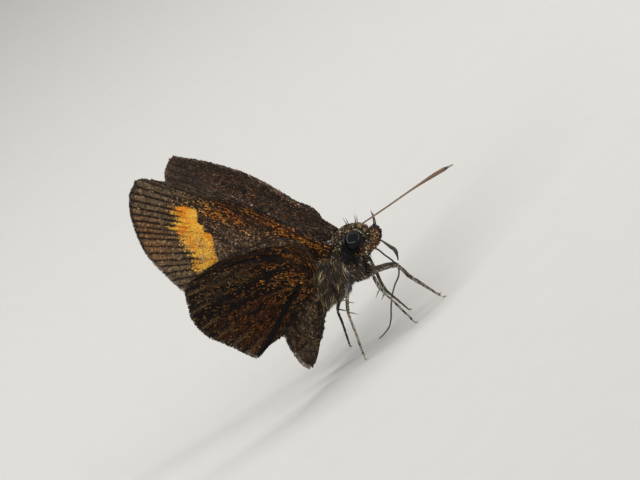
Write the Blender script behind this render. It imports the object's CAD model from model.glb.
"""A small skipper butterfly at life size, with its wings held up and its tongue laid back under it.

Sizes are in millimetres on the animal: X points forward, Y to its left and Z up from the floor.
Colours are display values from 0 to 255.
"""
from math import atan2, cos, pi, radians, sin, sqrt, tau

import bpy
import numpy as np
from mathutils import Matrix, Vector


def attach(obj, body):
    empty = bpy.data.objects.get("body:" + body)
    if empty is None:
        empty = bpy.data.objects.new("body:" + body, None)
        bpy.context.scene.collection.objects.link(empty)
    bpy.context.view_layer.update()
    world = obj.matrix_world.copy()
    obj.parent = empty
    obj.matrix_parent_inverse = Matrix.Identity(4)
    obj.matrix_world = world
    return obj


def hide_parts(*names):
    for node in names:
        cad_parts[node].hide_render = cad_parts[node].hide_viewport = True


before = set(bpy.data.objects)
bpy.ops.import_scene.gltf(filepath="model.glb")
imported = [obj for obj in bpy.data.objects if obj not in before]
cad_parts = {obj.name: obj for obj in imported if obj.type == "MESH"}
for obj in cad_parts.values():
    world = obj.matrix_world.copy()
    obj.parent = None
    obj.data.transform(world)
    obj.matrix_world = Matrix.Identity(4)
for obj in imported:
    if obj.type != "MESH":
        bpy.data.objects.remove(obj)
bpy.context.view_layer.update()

# The floor, the light and the camera.
# The animal stands on a sheet of pale board, lit by a square frame of soft lamps and the pale
# walls of a studio. The camera looks from its right side, a little from above, and is rolled.
MM = 0.001
FRAME_ORIGIN = np.array([0.61, 3.62, 0.0])
FLOOR_HALF = 1500.0
FLOOR_COLOUR = (178, 176, 172)
FLOOR_GRAIN = ((0.3, (177, 175, 171)), (0.7, (179, 177, 173)))
WALL_COLOUR = (212, 212, 210)
WALL_STRENGTH = 0.55
AIM = np.array([0.577, 0.0, 8.124])
CAMERA_ELEVATION = radians(12)
CAMERA_ROLL = radians(34)
CAMERA_DISTANCE = 300.0
VIEW_WIDTH = 43.52
SENSOR = 36.0
# The way to the lamps: its shares backwards to the camera, upwards and forwards.
LAMP_WAY = (0.62, 0.72, 0.22)
LAMP_DISTANCE = 170.0
LAMP_HALF = 225.0
LAMP_BAND = 36.0
LAMP_POWER = 0.73
LAMP_FILL_POWER = 0.33


def linear(colour):
    """Display values from 0 to 255 as linear light, by the usual 2.4 power with its small offset."""
    return ((np.asarray(colour, float) / 255 + 0.055) / 1.055) ** 2.4


def metres(points):
    """Millimetres on the animal as metres in the frame."""
    return (np.asarray(points, float) - FRAME_ORIGIN) * MM


def add_piece(name, points, faces, smooth=True):
    """A mesh from whole arrays: points (n, 3) in millimetres, and one array of faces or several."""
    groups = faces if isinstance(faces, list) else [faces]
    corners = np.concatenate([group.ravel() for group in groups])
    sizes = np.concatenate([np.full(len(group), group.shape[1]) for group in groups])
    mesh = bpy.data.meshes.new(name)
    mesh.vertices.add(len(points))
    mesh.vertices.foreach_set("co", metres(points).astype(np.float32).ravel())
    mesh.loops.add(len(corners))
    mesh.loops.foreach_set("vertex_index", corners.astype(np.int32))
    mesh.polygons.add(len(sizes))
    mesh.polygons.foreach_set("loop_start", (np.cumsum(sizes) - sizes).astype(np.int32))
    mesh.update(calc_edges=True)
    if smooth:
        mesh.shade_smooth()
    piece = bpy.data.objects.new(name, mesh)
    bpy.context.scene.collection.objects.link(piece)
    return piece


def new_material(name, colour, roughness, **sockets):
    """A Principled material. The words after the roughness are its other sockets, by their names."""
    material = bpy.data.materials.new(name)
    material.use_nodes = True
    inputs = material.node_tree.nodes["Principled BSDF"].inputs
    inputs["Base Color"].default_value = (*linear(colour), 1.0)
    inputs["Roughness"].default_value = roughness
    for socket, value in sockets.items():
        inputs[socket.replace("_", " ")].default_value = value
    return material


def add_node(material, kind, inputs, **settings):
    """A shader node with its settings, and its inputs given as values or as outputs to link."""
    tree = material.node_tree
    made = tree.nodes.new(kind)
    for setting, value in settings.items():
        setattr(made, setting, value)
    for socket, value in inputs.items():
        if isinstance(value, bpy.types.NodeSocket):
            tree.links.new(value, made.inputs[socket])
        else:
            made.inputs[socket].default_value = value
    return made


def drive(material, socket, output):
    """Link an output to a socket of the material's shader."""
    material.node_tree.links.new(output, material.node_tree.nodes["Principled BSDF"].inputs[socket])


def add_bump(material, height, distance, strength=1.0):
    """Bump from a height, as deep as distance in millimetres."""
    inputs = {"Height": height, "Distance": distance * MM, "Strength": strength}
    drive(material, "Normal", add_node(material, "ShaderNodeBump", inputs).outputs["Normal"])


def own_place(material):
    """The place on the object's own coordinates."""
    return add_node(material, "ShaderNodeTexCoord", {}).outputs["Object"]


def add_noise(material, size):
    """Noise on the object's own coordinates, with features about size millimetres across."""
    inputs = {"Vector": own_place(material), "Scale": 1 / (size * MM), "Detail": 3.0, "Roughness": 0.6}
    return add_node(material, "ShaderNodeTexNoise", inputs).outputs["Fac"]


def add_ramp(material, value, stops):
    """Colours along a value: stops are two of (position, display colour)."""
    ramp = add_node(material, "ShaderNodeValToRGB", {"Fac": value})
    for element, (position, colour) in zip(ramp.color_ramp.elements, stops):
        element.position = position
        element.color = (*linear(colour), 1.0)
    return ramp.outputs["Color"]


def place_object(name, data, place, axes):
    """A camera or lamp at a place, with its axes to the right, up and backwards."""
    made = bpy.data.objects.new(name, data)
    made.matrix_world = Matrix.Translation(place) @ Matrix(axes).transposed().to_4x4()
    bpy.context.scene.collection.objects.link(made)
    return made


corners = np.array([[-1, -1, 0], [1, -1, 0], [1, 1, 0], [-1, 1, 0]], float) * FLOOR_HALF
floor = add_piece("floor", corners, np.array([[0, 1, 2, 3]]), smooth=False)
board = new_material("pale_board", FLOOR_COLOUR, 0.85)
drive(board, "Base Color", add_ramp(board, add_noise(board, 3.0), FLOOR_GRAIN))
floor.data.materials.append(board)

world = bpy.data.worlds.new("studio")
world.use_nodes = True
walls = world.node_tree.nodes["Background"].inputs
walls["Color"].default_value = (*linear(WALL_COLOUR), 1.0)
walls["Strength"].default_value = WALL_STRENGTH
bpy.context.scene.world = world

level_view = Vector((0.0, cos(CAMERA_ELEVATION), -sin(CAMERA_ELEVATION)))
level_up = Vector((0.0, sin(CAMERA_ELEVATION), cos(CAMERA_ELEVATION)))
forward = Vector((1.0, 0.0, 0.0))
image_right = forward * cos(CAMERA_ROLL) - level_up * sin(CAMERA_ROLL)
image_up = forward * sin(CAMERA_ROLL) + level_up * cos(CAMERA_ROLL)
camera_data = bpy.data.cameras.new("camera")
camera_data.sensor_width = SENSOR
camera_data.lens = SENSOR * CAMERA_DISTANCE / VIEW_WIDTH
camera_data.clip_start = 0.01
camera_data.clip_end = 10.0
aim = Vector(metres(AIM))
camera_place = aim - level_view * CAMERA_DISTANCE * MM
camera = place_object("camera", camera_data, camera_place, (image_right, image_up, -level_view))
bpy.context.scene.camera = camera

backward, upward, onward = LAMP_WAY
lamp_out = (-level_view * backward + Vector((0.0, 0.0, 1.0)) * upward + forward * onward).normalized()
lamp_across = (image_right - lamp_out * image_right.dot(lamp_out)).normalized()
lamp_lift = lamp_out.cross(lamp_across)
lamp_edge = LAMP_HALF - LAMP_BAND / 2
# Each lamp's way right and up of the frame's middle, its width and height, and its power.
for name, right, up, width, height, power in (
    ("lamp_top", 0, lamp_edge, 2 * LAMP_HALF, LAMP_BAND, LAMP_POWER),
    ("lamp_bottom", 0, -lamp_edge, 2 * LAMP_HALF, LAMP_BAND, LAMP_POWER),
    ("lamp_left", -lamp_edge, 0, LAMP_BAND, 2 * LAMP_HALF, LAMP_POWER),
    ("lamp_right", lamp_edge, 0, LAMP_BAND, 2 * LAMP_HALF, LAMP_POWER),
    ("lamp_fill", 0, 0, 2 * lamp_edge, 2 * lamp_edge, LAMP_FILL_POWER),
):
    lamp_data = bpy.data.lights.new(name, "AREA")
    lamp_data.shape = "RECTANGLE"
    lamp_data.size = width * MM
    lamp_data.size_y = height * MM
    lamp_data.energy = power
    middle = aim + (lamp_out * LAMP_DISTANCE + lamp_across * right + lamp_lift * up) * MM
    place_object(name, lamp_data, middle, (lamp_across, lamp_lift, lamp_out))
bpy.context.scene.view_settings.view_transform = "Standard"

# The wing membranes.
# Four thin sheets of chitin stand up from the thorax, the forewings inside the hindwings. Each
# is stiffened by raised veins that fan out from its root, and lies in pleats between them.
GAP_AT_ROOT = 0.02
SHEET = 0.09
VEIN_RISE = 0.055
VEIN_WIDTH = 0.07
VEIN_FADE = 0.08
# Each kind's camber, and how deep and from which share its root is hooked in to the thorax.
FOREWING_CAMBER, FOREWING_HOOK, FOREWING_HOOKED = 0.3, 0.45, 0.16
HINDWING_CAMBER, HINDWING_HOOK, HINDWING_HOOKED = 0.25, 0.55, 0.11
FOREWING_SPAN = 14.15
HINDWING_SPAN = 9.2
WING_SPACING = 0.9
WING_AXIS = np.array([-0.715, 0.0, -0.699]) / np.hypot(0.715, 0.699)
WING_OUT = np.array([-0.699, 0.0, 0.715]) / np.hypot(0.715, 0.699)
# Each side's sign, hinge, lean out from the body, and swing of its forewing and its hindwing.
WING_SIDES = {
    "right": (-1, (0.3, -1.5, 7.3), radians(4), 0.0, 0.0),
    "left": (1, (1.4, 1.5, 7.5), radians(37.5), radians(-2.8), radians(12)),
}
FOREWING_VEINS = (0.07, 0.15, 0.23, 0.32, 0.41, 0.5, 0.59, 0.68, 0.77, 0.86, 0.95)
FOREWING_STEMS = (0.23, 0.77, 0.95)
HINDWING_VEINS = (0.053, 0.125, 0.205, 0.284, 0.363, 0.442, 0.521, 0.594)
# The hindwing's fan ends where its margin folds in by these shares across, then runs on to the lobe.
FAN_SHARE = 0.66
FOLD_SHARES = (FAN_SHARE, 0.69, 0.742, 0.793)
FOLD_DEPTHS = (0.0, 0.75, 0.75, 0.6, 0.5)
# The share of the way out that the fringe takes, wider by a factor on the hindwing.
FRINGE = 0.028
HIND_FRINGE = 1.3
SHEET_ROWS = 96
SHEET_COLUMNS = 150
CURVE_STEPS = 400
ROOT_POINTS = 101
EDGE_POINTS = 201
MARGIN_POINTS = 401


def curve_through(points, count):
    """count points evenly along the smooth curve through the given points.

    Each span is a cubic whose end slopes are those of the parabola through its neighbours.
    """
    keys = np.asarray(points, float)
    spans = np.linalg.norm(np.diff(keys, axis=0), axis=1)
    along = np.concatenate([[0.0], np.cumsum(spans)])
    slopes = np.gradient(keys, along, axis=0, edge_order=min(2, len(keys) - 1))
    fine = np.linspace(0.0, along[-1], CURVE_STEPS)
    k = np.clip(np.searchsorted(along, fine, side="right") - 1, 0, len(spans) - 1)
    t = ((fine - along[k]) / spans[k])[:, None]
    run = spans[k][:, None]
    path = (
        (2 * t**3 - 3 * t**2 + 1) * keys[k]
        + (t**3 - 2 * t**2 + t) * run * slopes[k]
        + (3 * t**2 - 2 * t**3) * keys[k + 1]
        + (t**3 - t**2) * run * slopes[k + 1]
    )
    reach = reach_along(path)
    even = np.linspace(0.0, reach[-1], count)
    return np.stack([np.interp(even, reach, axis) for axis in path.T], axis=1)


def reach_along(path):
    """The length of a path up to each of its points."""
    return np.concatenate([[0.0], np.cumsum(np.linalg.norm(np.diff(path, axis=0), axis=1))])


def read_line(line, share):
    """The points of a line at shares of its length, read between its own points."""
    places = np.linspace(0.0, 1.0, len(line))
    return np.stack([np.interp(share, places, axis) for axis in line.T], axis=-1)


def rise(value, low, high):
    """0 below low, 1 above high, and a smooth cubic between."""
    share = np.clip((value - low) / (high - low), 0.0, 1.0)
    return share * share * (3 - 2 * share)


def fall(value, low, high):
    """1 below low, 0 above high, and a smooth cubic between."""
    return 1 - rise(value, low, high)


def unit(vectors):
    """Vectors divided by their lengths."""
    return vectors / np.maximum(np.linalg.norm(vectors, axis=-1, keepdims=True), 1e-12)


def vein_ridges(wing, s, t, veins, start):
    """Rounded ridges along the veins, each fading in from start towards the margin."""
    gap = np.abs(np.asarray(t)[..., None] - np.asarray(veins)) * wing.width(s, t)[..., None]
    return VEIN_RISE * np.exp(-((gap / VEIN_WIDTH) ** 2)).sum(axis=-1) * rise(s, start, start + VEIN_FADE)


def pleats(t, veins, depth):
    """A shallow trough between each pair of veins: depth * sin(pi * share across)^2."""
    between = np.interp(t, [0.0, *veins, 1.0], np.arange(len(veins) + 2))
    return -depth * np.sin(pi * between) ** 2


def forewing_relief(wing, s, t):
    """Camber, then the root hooked in to the thorax, then pleats and veins."""
    camber = FOREWING_CAMBER * np.sin(pi * s) * np.sin(pi * t)
    hooked = -FOREWING_HOOK * np.clip(1 - s / FOREWING_HOOKED, 0, 1) ** 2
    veins = vein_ridges(wing, s, t, FOREWING_VEINS, 0.42)
    stems = vein_ridges(wing, s, t, FOREWING_STEMS, 0.05) * fall(s, 0.42, 0.5)
    return camber + hooked + veins + stems + pleats(t, FOREWING_VEINS, 0.05) * rise(s, 0.4, 0.8)


def hindwing_relief(wing, s, t):
    """Camber over the fan, the deep fold to the lobe, the root hooked in, then pleats and veins."""
    camber = HINDWING_CAMBER * np.sin(pi * s) * np.sin(pi * np.clip(t / FAN_SHARE, 0, 1))
    fold = np.interp(t, (*FOLD_SHARES, 0.845), FOLD_DEPTHS) * np.clip(s / 0.3, 0, 1)
    hooked = -HINDWING_HOOK * np.clip(1 - s / HINDWING_HOOKED, 0, 1) ** 2
    veins = vein_ridges(wing, s, t, HINDWING_VEINS, 0.15)
    pleated = pleats(t, HINDWING_VEINS, 0.14) * fall(t, FAN_SHARE - 0.02, FAN_SHARE)
    return camber - fold + hooked + veins + pleated


def forewing_edges():
    """Leading edge, trailing edge, root and margin of a forewing, each as a fine line."""
    span = FOREWING_SPAN
    leading = [(-0.7, -0.7), (-0.85, 0.4), (-1.55, 2.6), (-2.36, 5.2), (-2.78, 7.2)]
    trailing = [(0.1, -0.6), (0.7, 1.5), (2.4, 4.7), (4.4, 8.3)]
    tip = [(-2.97, 9.5), (-2.92, 12.1), (-2.62, span - 0.33), (-1.95, span), (-0.5, span - 0.3)]
    outer = [(0.95, span - 1.1), (2.2, span - 2.15), (3.2, span - 3.6), (4.0, span - 4.9)]
    front, back = curve_through(leading, EDGE_POINTS), curve_through(trailing, EDGE_POINTS)
    margin = curve_through(leading[-1:] + tip + outer + trailing[-1:], MARGIN_POINTS)
    return front, back, np.linspace(front[0], back[0], ROOT_POINTS), margin


def hindwing_edges():
    """The same for a hindwing: its margin is a round fan, a crease and a lobe beside the body."""
    hub = np.array([1.6, 0.2])
    leading = [(1.3, 0.55), (0.1, 1.1), (-0.75, 2.2), (-0.75, 3.6), (0.2, 5.4), (1.45, 7.1)]
    trailing = [(2.04, 0.1), (2.9, 0.02), (4.2, -0.3), (5.6, -0.75), (7.55, -0.75)]
    outer = [(2.7, 8.4), (3.8, HINDWING_SPAN), (4.7, 8.9), (5.9, 8.25), (6.6, 7.3), (7.1, 5.3)]
    crease = [(7.55, 3.3), (7.0, 2.8), (6.3, 2.2), (5.6, 1.6)]
    inner = [(6.3, 1.15), (7.0, 0.5), (7.5, -0.2)]
    front, back = curve_through(leading, EDGE_POINTS), curve_through(trailing, EDGE_POINTS)
    fan = curve_through(leading[-1:] + outer + crease[:1], MARGIN_POINTS)
    lobe = curve_through(crease[-1:] + inner + trailing[-1:], EDGE_POINTS)
    share = np.linspace(0.0, 1.0, 4 * (MARGIN_POINTS - 1) + 1)
    lobe_start = FOLD_SHARES[-1]
    on_crease = np.stack([np.interp(share, FOLD_SHARES, axis) for axis in np.array(crease).T], axis=1)
    on_lobe = read_line(lobe, (share - lobe_start) / (1 - lobe_start))
    margin = np.where((share < FAN_SHARE)[:, None], read_line(fan, share / FAN_SHARE), on_crease)
    margin = np.where((share > lobe_start)[:, None], on_lobe, margin)
    first, last = front[0] - hub, back[0] - hub
    turn = np.linspace(atan2(*first[::-1]), atan2(*last[::-1]), ROOT_POINTS)
    reach = np.linspace(np.hypot(*first), np.hypot(*last), ROOT_POINTS)
    return front, back, hub + reach[:, None] * np.stack([np.cos(turn), np.sin(turn)], axis=1), margin


class Wing:
    """A wing as a surface of two shares: s from root to margin, t from leading to trailing edge.

    In the wing's own plane it is a Coons patch: the blend of its four edges less the blend of
    its four corners. The plane is then swung about the hinge and leant out from the body.
    """

    def __init__(self, kind, side, hinge, lean, swing):
        """A forewing at the hinge, or a hindwing one step outside it."""
        self.kind = kind
        self.is_fore = kind == "forewing"
        edges = forewing_edges() if self.is_fore else hindwing_edges()
        self.front, self.back, self.root, self.margin = edges
        self.relief = forewing_relief if self.is_fore else hindwing_relief
        self.outward = WING_OUT * cos(lean) + np.array([0.0, side * sin(lean), 0.0])
        self.outer = np.array([0.0, side * cos(lean), 0.0]) - WING_OUT * sin(lean)
        self.hinge = np.array(hinge) + self.outer * (0.0 if self.is_fore else WING_SPACING)
        self.swing = swing

    def plan(self, s, t):
        """Places in the wing's plane: along the body towards the tail, and outwards."""
        row = np.asarray(s, float)[..., None]
        column = np.asarray(t, float)[..., None]
        root, margin = read_line(self.root, t), read_line(self.margin, t)
        sides = (1 - column) * read_line(self.front, s) + column * read_line(self.back, s)
        near = (1 - column) * self.root[0] + column * self.root[-1]
        far = (1 - column) * self.margin[0] + column * self.margin[-1]
        return sides + (1 - row) * (root - near) + row * (margin - far)

    def width(self, s, t):
        """Millimetres across the wing for one whole step of t."""
        step = 0.004
        return np.linalg.norm(self.plan(s, t + step) - self.plan(s, t - step), axis=-1) / (2 * step)

    def point(self, s, t):
        """Places on the animal: hinge + along the axis + outwards + relief off the plane."""
        flat = self.plan(s, t)
        along = flat[..., 0] * cos(self.swing) - flat[..., 1] * sin(self.swing)
        out = flat[..., 0] * sin(self.swing) + flat[..., 1] * cos(self.swing)
        lift = self.relief(self, np.clip(s, 0, 1), np.clip(t, 0, 1))[..., None] * self.outer
        return self.hinge + along[..., None] * WING_AXIS + out[..., None] * self.outward + lift

    def directions(self, s, t):
        """The point, the way to the margin, the way across and the outer normal, at s and t."""
        step = 0.003
        to_margin = unit(self.point(s + step, t) - self.point(s - step, t))
        to_back = self.point(s, t + step) - self.point(s, t - step)
        normal = unit(np.cross(to_margin, to_back))
        normal = normal * np.sign(normal @ self.outer)[..., None]
        return self.point(s, t), to_margin, np.cross(normal, to_margin), normal

    def end(self, t):
        """The share of the way out where the membrane ends and its fringe begins."""
        if self.is_fore:
            return 1 - FRINGE * rise(t, 0.38, 0.43)
        return 1 - FRINGE * HIND_FRINGE * rise(t, 0.02, 0.1)


def sheet_grid(wing):
    """The membrane's two faces and its rim: the surface moved half its thickness both ways."""
    t = np.linspace(0.0, 1.0, SHEET_COLUMNS)
    if not wing.is_fore:
        t = np.sort(np.concatenate([t, np.linspace(0.655, 0.70, 10)]))
    s = np.linspace(GAP_AT_ROOT, 1.0, SHEET_ROWS)[:, None] * wing.end(t)[None]
    place, _, _, normal = wing.directions(s, np.broadcast_to(t, s.shape))
    points = np.concatenate([place + normal * SHEET / 2, place - normal * SHEET / 2]).reshape(-1, 3)
    grid = np.arange(s.size).reshape(s.shape)
    a, b, c, d = (x.ravel() for x in (grid[:-1, :-1], grid[1:, :-1], grid[1:, 1:], grid[:-1, 1:]))
    top = np.stack([a, b, c, d], axis=1)
    rim = np.concatenate([grid[0], grid[1:, -1], grid[-1, -2::-1], grid[-2:0:-1, 0]])
    ahead = np.roll(rim, -1)
    wall = np.stack([rim, ahead, ahead + s.size, rim + s.size], axis=1)
    faces = np.concatenate([top, top[:, ::-1] + s.size, wall])
    outer_up = np.cross(points[b[0]] - points[a[0]], points[d[0]] - points[a[0]]) @ normal[0, 0] > 0
    return points, faces if outer_up else faces[:, ::-1]


def dress(piece, material, slot, *nodes):
    """Give a piece its material and its slot, and the nodes of the part that it stands for, if any."""
    piece.data.materials.append(material)
    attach(piece, "root")
    if nodes:
        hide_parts(*nodes)


membrane = new_material("wing_membrane", (26, 19, 15), 0.75, Specular_IOR_Level=0.12)
webbing = [(0.3, (18, 13, 11)), (0.7, (34, 25, 19))]
drive(membrane, "Base Color", add_ramp(membrane, add_noise(membrane, 0.35), webbing))
add_bump(membrane, add_noise(membrane, 0.12), 0.02)
WINGS = {}
for word, (side, hinge, lean, *swings) in WING_SIDES.items():
    for kind, swing in zip(("forewing", "hindwing"), swings):
        name = f"{kind}_{word}"
        WINGS[name] = Wing(kind, side, hinge, lean, swing)
        dress(add_piece(name + "_membrane", *sheet_grid(WINGS[name])), membrane, "wing_brown", name)

# The scales on the wings.
# Each face of each membrane is tiled with thousands of loose scales, narrow at the root and
# broad at the free end, like shingles. Their pigments make the pattern, and raised ochre
# scales lie over the dark ones in dashes.
SCALE_COUNTS = {
    "hindwing_right_under": 42000, "forewing_right_under": 46000, "forewing_left_upper": 32000,
    "hindwing_left_under": 16000, "forewing_left_under": 16000, "hindwing_left_upper": 16000,
    "hindwing_right_upper": 16000, "forewing_right_upper": 16000,
}
# Where a face has fewer scales than this they are larger, so that they still cover it.
FULL_COUNT = 42000
WING_AREAS = {"forewing": 77.0, "hindwing": 59.0}
SCALE_LENGTH, SCALE_WIDTH, SCALE_RISE = 0.18, 0.085, 0.03
DASH_LENGTH, DASH_WIDTH, DASH_RISE = 0.28, 0.05, 0.05
TUFT_PATCH = 0.003
BLACK = (14, 11, 12)
SOOT = (24, 18, 16)
UMBER = (46, 33, 22)
MAUVE = (94, 76, 60)
STONE = (134, 112, 86)
CREAM = (216, 206, 184)
RUST = (128, 62, 22)
OCHRE = (178, 106, 32)
GOLD = (206, 148, 58)
AMBER = (255, 184, 70)
DEEP_AMBER = (255, 154, 42)
STRAW = (208, 158, 84)
# Dark lines run to the forewing's border three to each space between veins.
BORDER_LINES = (
    0.06, 0.11, 0.16, 0.205, 0.25, 0.295, 0.34, 0.385, 0.424, 0.454, 0.486, 0.514, 0.544,
    0.572, 0.597, 0.624, 0.652, 0.688, 0.726, 0.764, 0.8, 0.84, 0.88, 0.92, 0.96,
)
# The amber patch under the forewing: places across, and the shares of the way out where it
# begins and ends there.
PATCH_T, PATCH_INNER, PATCH_OUTER = np.transpose([
    (0.43, 0.70, 0.70), (0.442, 0.669, 0.72), (0.466, 0.661, 0.777), (0.53, 0.663, 0.785),
    (0.536, 0.638, 0.787), (0.584, 0.638, 0.795), (0.589, 0.604, 0.795), (0.63, 0.604, 0.775),
    (0.698, 0.618, 0.771), (0.754, 0.633, 0.769), (0.792, 0.635, 0.773), (0.815, 0.66, 0.79),
    (0.836, 0.70, 0.81), (0.852, 0.741, 0.82), (0.89, 0.80, 0.83),
])
# Black bands over the hindwing's fan: shares out and across, and half a band's width.
HINDWING_BANDS = (
    ((0.2, 0.36, 0.49, 0.58, 0.9), (0.23, 0.302, 0.312, 0.324, 0.324), 0.24),
    ((0.25, 0.33, 0.44, 0.55, 0.72), (0.37, 0.414, 0.424, 0.408, 0.38), 0.2),
    ((0.3, 0.45, 0.65, 0.82, 0.95), (0.2, 0.186, 0.166, 0.142, 0.15), 0.26),
    ((0.15, 0.26, 0.43, 0.63, 0.88, 1.0), (0.47, 0.536, 0.598, 0.630, 0.655, 0.66), 0.2),
    ((0.5, 0.6, 0.64, 0.7), (0.46, 0.47, 0.49, 0.46), 0.22),
)
CREASE_BAND = HINDWING_BANDS[3]


def mottle(places, size, seed):
    """Smooth noise from 0 to 1: random values at a cubic lattice's corners, blended across it."""
    values = np.random.default_rng(seed).random((32, 32, 32))
    place = np.asarray(places, float) / size
    cell = np.floor(place).astype(int)
    share = place - cell
    share = share * share * (3 - 2 * share)
    total = np.zeros(place.shape[:-1])
    for corner in np.ndindex(2, 2, 2):
        weight = np.prod(np.where(corner, share, 1 - share), axis=-1)
        x, y, z = np.moveaxis((cell + corner) % 32, -1, 0)
        total += weight * values[x, y, z]
    return total


def streaks(wing, s, t, length, width, seed):
    """Noise drawn out along the wing: mottle over places in lengths out and widths across."""
    across = t * wing.width(np.full_like(s, 0.8), t) * (0.35 + 0.65 * s)
    return mottle(np.stack([s * 11.0 / length, across / width, 0 * s], axis=-1), 1.0, seed)


def mix(first, second, share):
    """Colours blended one by one: first * (1 - share) + second * share."""
    share = np.asarray(share)[..., None]
    return np.asarray(first, float) * (1 - share) + np.asarray(second, float) * share


def layer(colours, *coats):
    """Colours under coats of other colours, each coat with its colour and its share."""
    for colour, share in coats:
        colours = mix(colours, colour, share)
    return colours


def near_lines(wing, s, t, lines, half_width):
    """1 on the nearest of the lines and falling away as a bell, by millimetres across the wing."""
    gap = np.abs(t[:, None] - np.asarray(lines)).min(axis=1) * wing.width(s, t)
    return np.exp(-((gap / half_width) ** 2))


def in_band(wing, s, t, path_s, path_t, half_width):
    """1 in the middle of a band that wanders across the wing, and falling away as a bell."""
    gap = np.abs(t - np.interp(s, path_s, path_t)) * wing.width(s, t)
    inside = rise(s, path_s[0], path_s[0] + 0.08) * fall(s, path_s[-1], path_s[-1] + 0.05)
    return np.exp(-((gap / half_width) ** 4)) * inside


def dashes(dice, cover, density):
    """Which scales are raised dashes, so that dashes hide the share cover of the wing.

    A wing with n dashes of area a on each square millimetre is hidden by 1 - e^(-n a).
    """
    needed = -np.log(1 - np.clip(cover, 0.0, 0.9)) / (0.8 * DASH_LENGTH * DASH_WIDTH)
    return dice.random(len(cover)) < needed / density


def forewing_under_colours(wing, s, t, place, dice, density):
    """Umber with ochre dashes in front, mauve behind, the amber patch and a striped border."""
    fine, grain = mottle(place, 0.16, 1), streaks(wing, s, t, 0.9, 0.2, 20)
    lines = near_lines(wing, s, t, BORDER_LINES, 0.08)
    behind = rise(t, 0.4, 0.62) * rise(s, 0.15, 0.32)
    dark_spots = rise(streaks(wing, s, t, 1.3, 0.5, 22), 0.6, 0.8) * fall(s, 0.66, 0.72)
    border = rise(s, 0.66, 0.86) * rise(t, 0.1, 0.42)
    warm = rise(t, 0.5, 0.58) * fall(t, 0.7, 0.82) * rise(s, 0.78, 0.9)
    stripe = mix((92, 76, 56), (128, 106, 80), rise(fine, 0.1, 0.8))
    colours = layer(
        mix(UMBER, SOOT, rise(grain, 0.35, 0.75)),
        (MAUVE, behind * (0.4 + 0.6 * rise(fine, 0.1, 0.8))),
        ((44, 40, 35), fall(t, 0.03, 0.1) * 0.8),
        ((24, 23, 24), dark_spots * 0.5),
        (mix(stripe, (160, 98, 50), 0.7 * warm * fine), border * 0.9),
        (mix((56, 47, 36), (92, 78, 60), fine), rise(s, 0.68, 0.8) * fall(t, 0.3, 0.5)),
        (BLACK, rise(s, 0.68, 0.8) * lines * rise(t, 0.2, 0.44) * 0.9),
        (SOOT, 0.7 * rise(s, 0.955, 0.985) * (0.3 + 0.7 * lines)),
    )
    in_front = fall(t, 0.42, 0.6) * fall(s, 0.62, 0.7) * rise(t, 0.09, 0.17)
    above = rise(s, 0.61, 0.65) * fall(s, 0.78, 0.84) * rise(t, 0.34, 0.38)
    cover = in_front * (0.1 + 0.68 * rise(grain, 0.4, 0.58)) + 0.08 * behind * fall(s, 0.6, 0.7)
    cover = cover + 0.4 * fall(s, 0.1, 0.3) * rise(grain, 0.4, 0.6) * rise(t, 0.12, 0.3)
    cover = cover + 0.36 * above * fall(t, 0.45, 0.47) + 0.08 * border * rise(fine, 0.5, 0.7)
    is_dash = dashes(dice, cover, density)
    tone = layer(
        mix(OCHRE, RUST, rise(mottle(place, 0.5, 7), 0.3, 0.7)),
        (GOLD, 0.6 * dice.random(len(s))),
        (mix((150, 104, 50), (190, 160, 110), dice.random(len(s))), 0.8 * above),
        (mix(STONE, CREAM, 0.5 * dice.random(len(s))), np.maximum(behind * 0.6, border * 0.8)),
    )
    colours = np.where(is_dash[:, None], tone, colours)
    inner = np.interp(t, PATCH_T, PATCH_INNER) + 0.006 * (fine - 0.5)
    outer = np.interp(t, PATCH_T, PATCH_OUTER) + 0.05 * (grain - 0.5)
    patch = rise(s, inner - 0.004, inner + 0.006) * (rise(t, 0.444, 0.458) * fall(t, 0.84, 0.885))
    patch = patch * fall(s + 0.03 * lines, outer - 0.03, outer + 0.035)
    amber = layer(
        mix(AMBER, DEEP_AMBER, rise(mottle(place, 0.6, 3), 0.4, 0.75)),
        (STRAW, rise(mottle(place, 0.6, 4), 0.42, 0.7) * rise(t, 0.56, 0.7)),
        ((150, 78, 22), 0.5 * lines * rise(s, 0.67, 0.75) * fall(t, 0.6, 0.66)),
        ((122, 84, 48), 0.7 * (dice.random(len(s)) < 0.02 + 0.14 * rise(t, 0.56, 0.72))),
    )
    in_patch = dice.random(len(s)) < patch * 1.03
    return np.where(in_patch[:, None], amber, colours), is_dash & ~in_patch, in_patch


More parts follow.
